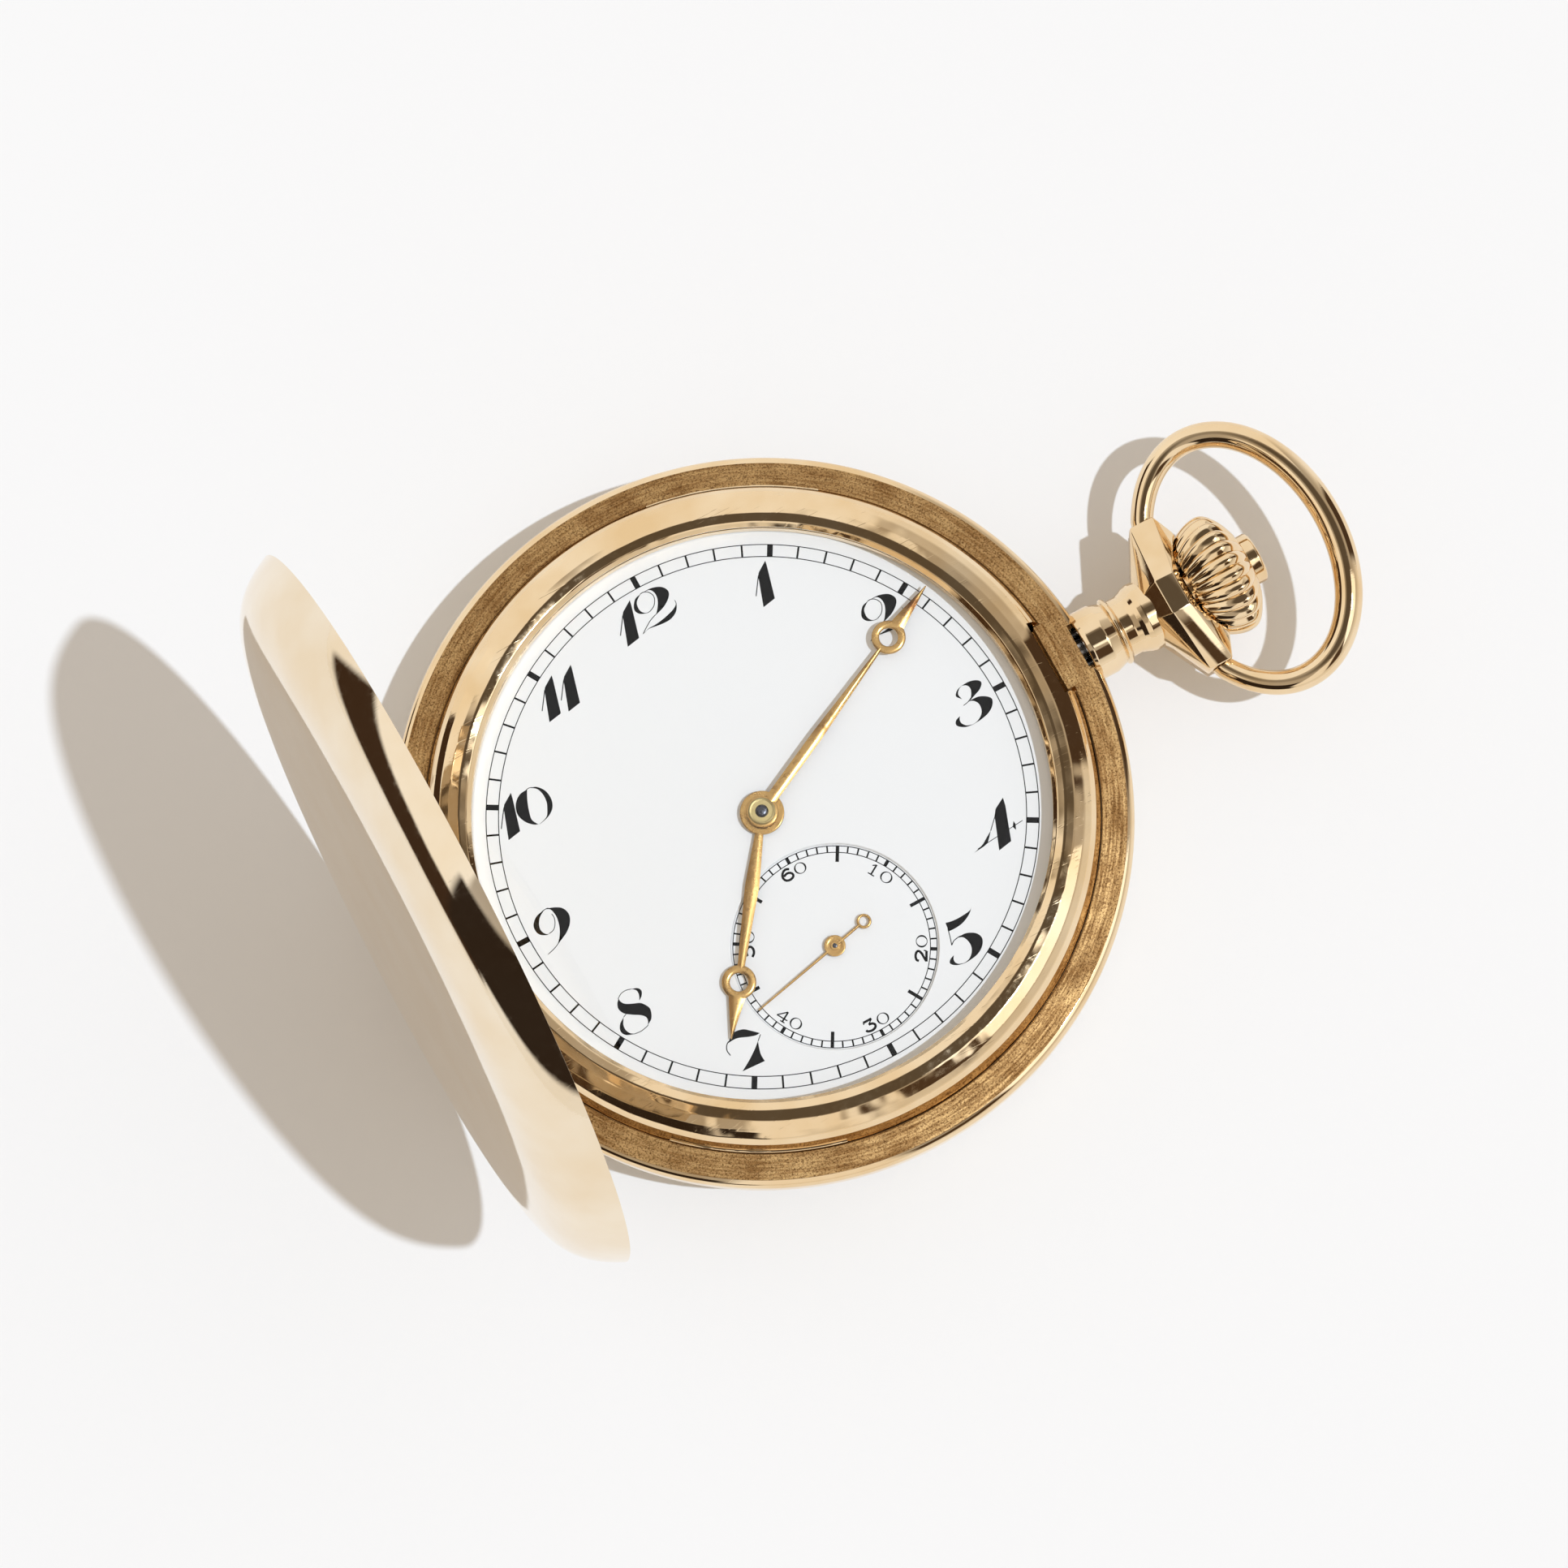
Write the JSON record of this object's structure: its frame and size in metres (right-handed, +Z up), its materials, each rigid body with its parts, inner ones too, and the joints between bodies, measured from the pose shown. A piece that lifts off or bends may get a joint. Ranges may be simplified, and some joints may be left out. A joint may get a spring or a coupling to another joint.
{
  "type": "hunter pocket watch",
  "caption": "Hunter-case pocket watch: sprung front lid over an enamel dial with sunk seconds, hinged back lid and dust cover, swivelling bow, ribbed crown and a geared lever movement.",
  "frame": {"origin": "on the watch's axis, in the plane of the back lid's flat middle, on which the watch lies", "axes": "+Z up out of the dial, +X through the crown and the bow, +Y toward the twelve"},
  "size_m": [0.0744, 0.052, 0.0582],
  "materials": {
    "case_metal": "polished rose gold plate, slightly worn",
    "crystal_glass": "clear polished glass",
    "steel": "fine brushed",
    "gilt_brass": "matte gilt",
    "nickel": "satin nickel plate",
    "dial_enamel": "glossy fired enamel",
    "hand_metal": "gilt, with brown patina",
    "copper": "bare copper",
    "blued_steel": "blued by heat",
    "ruby": "polished"
  },
  "bodies": {
    "case": {"case_band": "case_metal", "bezel": "case_metal", "crystal": "crystal_glass", "front_hinge_pin": "case_metal", "back_hinge_pin": "case_metal", "cuvette_hinge_pin": "case_metal", "lock_spring_screw": "steel", "lift_spring": "steel", "case_screws": "steel", "main_plate": "gilt_brass", "barrel_bridge": "nickel", "train_bridge": "nickel", "balance_cock": "nickel", "pallet_cock": "nickel", "dial": "dial_enamel", "seconds_dial": "dial_enamel", "dial_feet": "copper", "click_spring": "steel", "hairspring": "blued_steel", "jewels": "ruby", "bridge_screws": "blued_steel"},
    "front_cover": {"front_lid": "case_metal"},
    "back_cover": {"back_lid": "case_metal"},
    "dust_cover": {"cuvette": "case_metal"},
    "bow_ring": {"bow": "case_metal"},
    "pinion_body": {"winding_pinion": "steel"},
    "crown_body": {"crown": "case_metal", "winding_stem": "steel"},
    "clutch": {"sliding_pinion": "steel"},
    "button_body": {"crown_button": "case_metal"},
    "sleeve_body": {"push_sleeve": "steel"},
    "catch_body": {"lock_spring": "steel"},
    "lever_body": {"setting_lever": "steel"},
    "yoke_body": {"yoke": "steel"},
    "crown_wheel_body": {"crown_wheel": "steel"},
    "ratchet_body": {"ratchet_wheel": "steel", "barrel_arbor": "steel"},
    "click_body": {"click": "steel"},
    "fourth_body": {"fourth_wheel": "gilt_brass", "seconds_hand": "hand_metal"},
    "third_body": {"third_wheel": "gilt_brass"},
    "centre_body": {"centre_wheel": "gilt_brass", "cannon_pinion": "steel", "minute_hand": "hand_metal"},
    "escape_body": {"escape_wheel": "steel"},
    "barrel_body": {"barrel_drum": "gilt_brass", "barrel_cover": "gilt_brass", "mainspring": "steel"},
    "minute_body": {"minute_wheel": "gilt_brass"},
    "hour_body": {"hour_wheel": "gilt_brass", "hour_hand": "hand_metal"},
    "setting_body": {"setting_wheel": "steel"},
    "balance_body": {"balance_wheel": "gilt_brass", "balance_staff": "steel"},
    "fork_body": {"pallet_fork": "steel"},
    "regulator_body": {"regulator": "steel"}
  },
  "joints": [
    {"name": "front_lid_hinge", "type": "hinge", "parent": "case", "child": "front_cover", "pos_m": [-0.0256, 0, 0.0076], "axis": [0, 1, 0], "range_deg": [0, 83.5], "stiffness_Nm_per_rad": 0.0022, "springref_deg": -28.65},
    {"name": "back_lid_hinge", "type": "hinge", "parent": "case", "child": "back_cover", "pos_m": [-0.0256, 0, 0.00475], "axis": [0, 1, 0], "range_deg": [0, 95]},
    {"name": "cuvette_hinge", "type": "hinge", "parent": "case", "child": "dust_cover", "pos_m": [-0.02295, 0, 0.00445], "axis": [0, 1, 0], "range_deg": [0, 76]},
    {"name": "bow_swivel", "type": "hinge", "parent": "case", "child": "bow_ring", "pos_m": [0.0337, 0, 0.00585], "axis": [0, 1, 0], "range_deg": [-84, 116]},
    {"name": "crown_spin", "type": "hinge", "parent": "case", "child": "pinion_body", "pos_m": [0.01455, 0, 0.00585], "axis": [1, 0, 0], "continuous": true},
    {"name": "crown_pull", "type": "slide", "parent": "pinion_body", "child": "crown_body", "axis": [1, 0, 0], "range_m": [0, 0.0007]},
    {"name": "clutch_slide", "type": "slide", "parent": "pinion_body", "child": "clutch", "axis": [1, 0, 0], "range_m": [-0.0004, 0]},
    {"name": "button_push", "type": "slide", "parent": "crown_body", "child": "button_body", "axis": [-1, 0, 0], "range_m": [0, 0.0007], "stiffness_N_per_m": 30},
    {"name": "sleeve_push", "type": "slide", "parent": "case", "child": "sleeve_body", "axis": [-1, 0, 0], "range_m": [0, 0.0007]},
    {"name": "lock_spring_flex", "type": "hinge", "parent": "case", "child": "catch_body", "pos_m": [0.0107, -0.02013, 0.00585], "axis": [0, 0, 1], "range_deg": [0, 1]},
    {"name": "setting_lever_turn", "type": "hinge", "parent": "case", "child": "lever_body", "pos_m": [0.01495, 0.0039, 0.0074], "axis": [0, 0, 1], "range_deg": [0, 11.5]},
    {"name": "yoke_turn", "type": "hinge", "parent": "case", "child": "yoke_body", "pos_m": [0.01288, -0.0052, 0.0074], "axis": [0, 0, 1], "range_deg": [0, 6]},
    {"name": "crown_wheel_turn", "type": "hinge", "parent": "case", "child": "crown_wheel_body", "pos_m": [0.01077, 0, 0.002], "axis": [0, 0, 1], "continuous": true},
    {"name": "ratchet_turn", "type": "hinge", "parent": "case", "child": "ratchet_body", "pos_m": [0.00548, 0.00783, 0.002], "axis": [0, 0, 1], "continuous": true},
    {"name": "click_lift", "type": "hinge", "parent": "case", "child": "click_body", "pos_m": [0.00044, 0.01429, 0.0016], "axis": [0, 0, 1], "range_deg": [0, 8], "stiffness_Nm_per_rad": 0.00002, "springref_deg": -11.46},
    {"name": "seconds_turn", "type": "hinge", "parent": "case", "child": "fourth_body", "pos_m": [0, -0.0106, 0.0032], "axis": [0, 0, 1], "continuous": true},
    {"name": "third_turn", "type": "hinge", "parent": "case", "child": "third_body", "pos_m": [0.00324, -0.00602, 0.0032], "axis": [0, 0, 1], "continuous": true},
    {"name": "centre_turn", "type": "hinge", "parent": "case", "child": "centre_body", "pos_m": [0, 0, 0.0032], "axis": [0, 0, 1], "continuous": true},
    {"name": "escape_turn", "type": "hinge", "parent": "case", "child": "escape_body", "pos_m": [-0.00405, -0.01344, 0.0032], "axis": [0, 0, 1], "continuous": true},
    {"name": "barrel_turn", "type": "hinge", "parent": "case", "child": "barrel_body", "pos_m": [0.00548, 0.00783, 0.0032], "axis": [0, 0, 1], "continuous": true},
    {"name": "minute_wheel_turn", "type": "hinge", "parent": "case", "child": "minute_body", "pos_m": [0.00393, 0.00275, 0.0066], "axis": [0, 0, 1], "continuous": true},
    {"name": "hour_turn", "type": "hinge", "parent": "case", "child": "hour_body", "pos_m": [0, 0, 0.007], "axis": [0, 0, 1], "continuous": true},
    {"name": "setting_wheel_turn", "type": "hinge", "parent": "case", "child": "setting_body", "pos_m": [0.00904, 0, 0.0066], "axis": [0, 0, 1], "continuous": true},
    {"name": "balance_swing", "type": "hinge", "parent": "case", "child": "balance_body", "pos_m": [-0.0115, -0.0075, 0.0032], "axis": [0, 0, 1], "range_deg": [-270, 270], "stiffness_Nm_per_rad": 0.00000081},
    {"name": "fork_rock", "type": "hinge", "parent": "case", "child": "fork_body", "pos_m": [-0.00699, -0.0111, 0.005], "axis": [0, 0, 1], "range_deg": [-4.5, 4.5]},
    {"name": "regulator_turn", "type": "hinge", "parent": "case", "child": "regulator_body", "pos_m": [-0.0115, -0.0075, 0.0018], "axis": [0, 0, 1], "range_deg": [-15, 15]}
  ],
  "couplings": [
    {"joint": "cuvette_hinge", "follows": "back_lid_hinge", "ratio": 0.8},
    {"joint": "clutch_slide", "follows": "crown_pull", "ratio": -0.55},
    {"joint": "setting_lever_turn", "follows": "crown_pull", "rad_per_m": 277},
    {"joint": "yoke_turn", "follows": "crown_pull", "rad_per_m": 137},
    {"joint": "lock_spring_flex", "follows": "button_push", "rad_per_m": 21.43},
    {"joint": "sleeve_push", "follows": "button_push", "ratio": 1},
    {"joint": "crown_wheel_turn", "follows": "crown_spin", "ratio": 0.33333},
    {"joint": "ratchet_turn", "follows": "crown_spin", "ratio": -0.22222},
    {"joint": "third_turn", "follows": "seconds_turn", "ratio": -0.13333},
    {"joint": "centre_turn", "follows": "seconds_turn", "ratio": 0.016667},
    {"joint": "escape_turn", "follows": "seconds_turn", "ratio": -10},
    {"joint": "barrel_turn", "follows": "seconds_turn", "ratio": -0.0020833},
    {"joint": "minute_wheel_turn", "follows": "seconds_turn", "ratio": -0.0055556},
    {"joint": "hour_turn", "follows": "seconds_turn", "ratio": 0.0013889},
    {"joint": "setting_wheel_turn", "follows": "seconds_turn", "ratio": 0.0090909},
    {"joint": "fork_rock", "follows": "balance_swing", "ratio": -0.0148}
  ]
}
